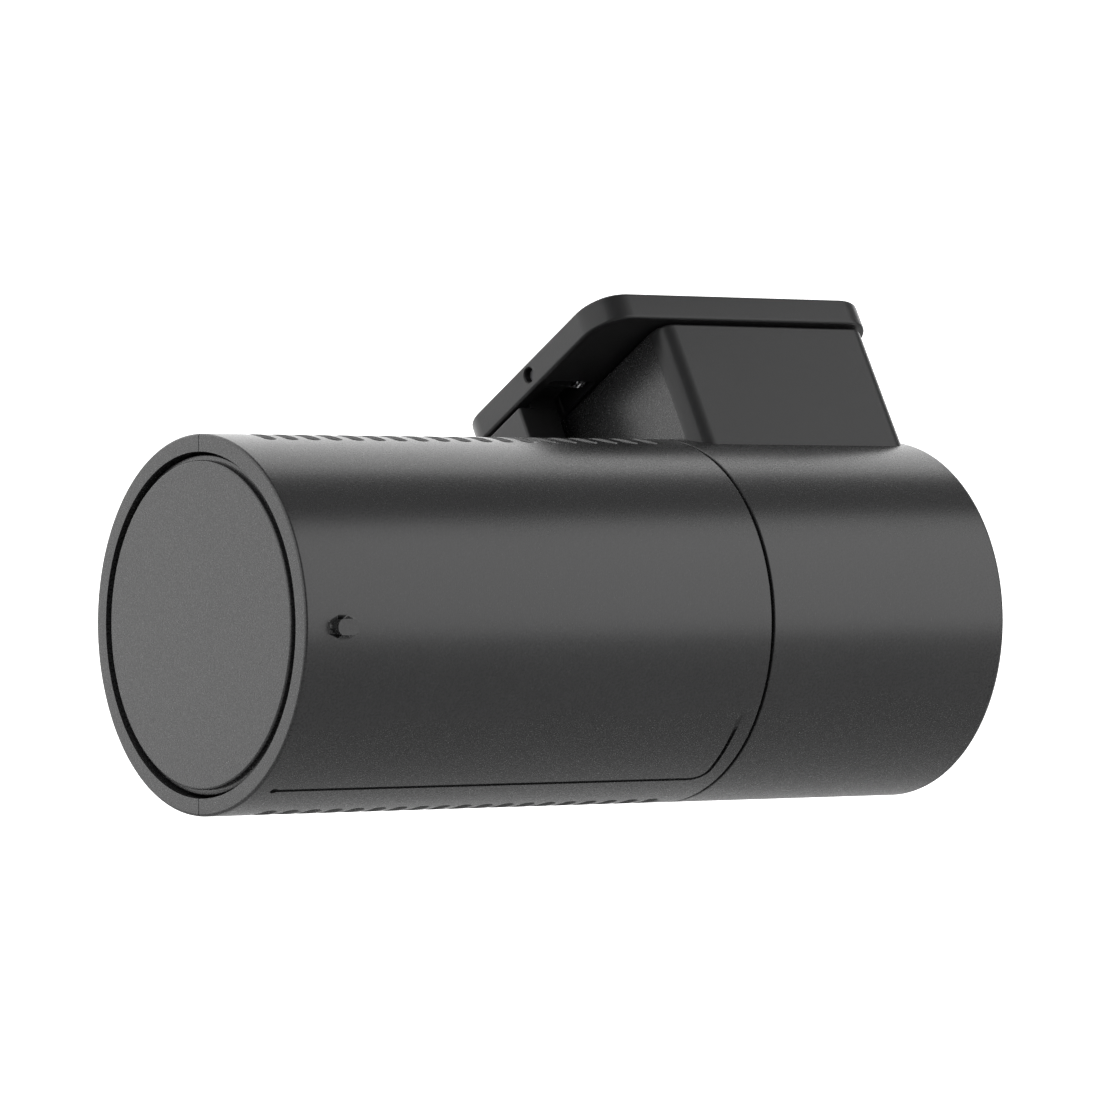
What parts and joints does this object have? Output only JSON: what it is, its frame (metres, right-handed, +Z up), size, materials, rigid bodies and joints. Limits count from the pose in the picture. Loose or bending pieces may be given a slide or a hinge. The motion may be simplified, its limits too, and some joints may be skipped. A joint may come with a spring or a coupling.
{
  "type": "dash camera",
  "caption": "Cylindrical dash camera with a tilting lens barrel, end cover and jacks, hung from a raked windscreen bracket it slides out of.",
  "frame": {"origin": "middle of the adhesive pad's outer face, where the camera sticks to the windscreen", "axes": "+X along the tube from the end cover to the jacks, +Y forwards to the road along the lens, +Z up"},
  "size_m": [0.0847, 0.0457, 0.0507],
  "materials": {
    "body_plastic": "satin",
    "bracket_plastic": "satin",
    "inner_plastic": "matte",
    "bezel_plastic": "gloss",
    "friction_plastic": "satin",
    "foam_tape": "matte",
    "steel": "satin",
    "lens_glass": "clear",
    "circuit_board": "satin",
    "chip_resin": "matte",
    "ceramic": "matte",
    "aluminium": "brushed",
    "thermal_gel": "matte",
    "cable_jacket": "matte",
    "light_pipe": "clear",
    "light": "gloss"
  },
  "bodies": {
    "bracket": {"bracket_plate": "bracket_plastic", "adhesive_pad": "foam_tape", "lock_pin": "steel", "lock_spring": "steel"},
    "lock_lever": {"lock_lever": "bracket_plastic"},
    "camera_mount": {"mount_housing": "body_plastic", "jack_plate": "body_plastic", "dc_jack": "inner_plastic", "camera_jack": "inner_plastic", "jack_board": "circuit_board", "jack_plate_screw_1": "steel", "jack_plate_screw_2": "steel", "swivel_friction_ring": "friction_plastic", "wire_harness": "cable_jacket"},
    "end_cover": {"end_cover": "body_plastic"},
    "memory_card": {"memory_card": "chip_resin"},
    "wifi_button": {"wifi_button": "inner_plastic"},
    "format_button": {"format_button": "inner_plastic"},
    "barrel": {"rear_shell": "body_plastic", "front_shell": "body_plastic", "card_bay_plate": "inner_plastic", "chassis_frame": "inner_plastic", "lens_barrel": "inner_plastic", "lens_holder": "inner_plastic", "swivel_hub": "inner_plastic", "swivel_retainer": "inner_plastic", "lens_bezel": "bezel_plastic", "card_socket": "steel", "microphone": "steel", "bay_screw_1": "steel", "bay_screw_2": "steel", "hub_screw_1": "steel", "hub_screw_2": "steel", "hub_screw_3": "steel", "front_lens": "lens_glass", "middle_lens": "lens_glass", "rear_lens": "lens_glass", "infrared_filter": "lens_glass", "main_board": "circuit_board", "sensor_board": "circuit_board", "light_board": "circuit_board", "processor": "chip_resin", "image_sensor": "chip_resin", "board_connector": "chip_resin", "wifi_switch": "chip_resin", "format_switch": "chip_resin", "speaker": "chip_resin", "gps_antenna": "ceramic", "heat_spreader": "aluminium", "thermal_pad": "thermal_gel", "backup_capacitor_1": "cable_jacket", "backup_capacitor_2": "cable_jacket", "status_light_pipe": "light_pipe", "front_light_pipe": "light_pipe", "status_led": "light", "front_led": "light"}
  },
  "joints": [
    {"name": "mount_release", "type": "slide", "parent": "bracket", "child": "camera_mount", "axis": [0, -0.866, 0.5], "range_m": [0, 0.018]},
    {"name": "lock_release", "type": "hinge", "parent": "bracket", "child": "lock_lever", "pos_m": [-0.0144, -0.00107, -0.00215], "axis": [-1, 0, 0], "range_deg": [0, 10], "stiffness_Nm_per_rad": 0.02, "springref_deg": -11.46},
    {"name": "lens_tilt", "type": "hinge", "parent": "camera_mount", "child": "barrel", "pos_m": [-0.01255, -0.01644, -0.02677], "axis": [1, 0, 0], "range_deg": [-40, 40]},
    {"name": "cover_pull_off", "type": "slide", "parent": "barrel", "child": "end_cover", "axis": [-1, 0, 0], "range_m": [0, 0.012]},
    {"name": "card_eject", "type": "slide", "parent": "barrel", "child": "memory_card", "axis": [-1, 0, 0], "range_m": [0, 0.0024]},
    {"name": "wifi_press", "type": "slide", "parent": "barrel", "child": "wifi_button", "axis": [1, 0, 0], "range_m": [0, 0.0004], "stiffness_N_per_m": 500, "springref_m": -0.0002},
    {"name": "format_press", "type": "slide", "parent": "barrel", "child": "format_button", "axis": [1, 0, 0], "range_m": [0, 0.0004], "stiffness_N_per_m": 500, "springref_m": -0.0002}
  ]
}
